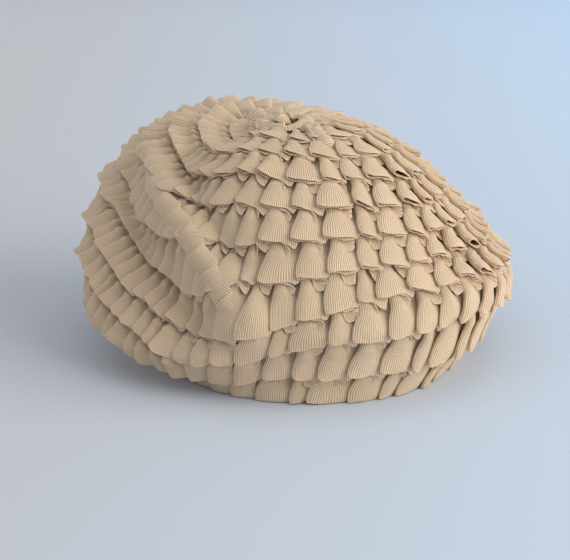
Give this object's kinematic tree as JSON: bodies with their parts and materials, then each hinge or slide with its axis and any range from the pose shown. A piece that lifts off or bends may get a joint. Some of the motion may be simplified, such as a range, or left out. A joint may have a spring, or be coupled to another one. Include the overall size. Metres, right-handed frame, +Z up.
{
  "type": "slouchy beret",
  "caption": "Slouchy beret covered in lapping rows of knife-pleated grosgrain ribbon, with a folded twist at the top and one long fold.",
  "frame": {"origin": "bottom centre of the bounding box, on the surface that the hat's hem stands on", "axes": "+Z up through the top of the hat, -Y towards the back of the hat, +X towards its right side seen from behind"},
  "size_m": [0.262, 0.227, 0.1381],
  "materials": {
    "crown_cloth": "matt woven cloth",
    "grosgrain_ribbon": "ribbed ribbon with a faint sheen"
  },
  "bodies": {
    "root": {"crown": "crown_cloth", "top_twist": "grosgrain_ribbon", "ruffle_row_01": "grosgrain_ribbon", "ruffle_row_02": "grosgrain_ribbon", "ruffle_row_03": "grosgrain_ribbon", "ruffle_row_04": "grosgrain_ribbon", "ruffle_row_05": "grosgrain_ribbon", "ruffle_row_06": "grosgrain_ribbon", "ruffle_row_07": "grosgrain_ribbon", "ruffle_row_08": "grosgrain_ribbon", "ruffle_row_09": "grosgrain_ribbon", "ruffle_row_10": "grosgrain_ribbon", "ruffle_row_11": "grosgrain_ribbon"}
  },
  "joints": []
}
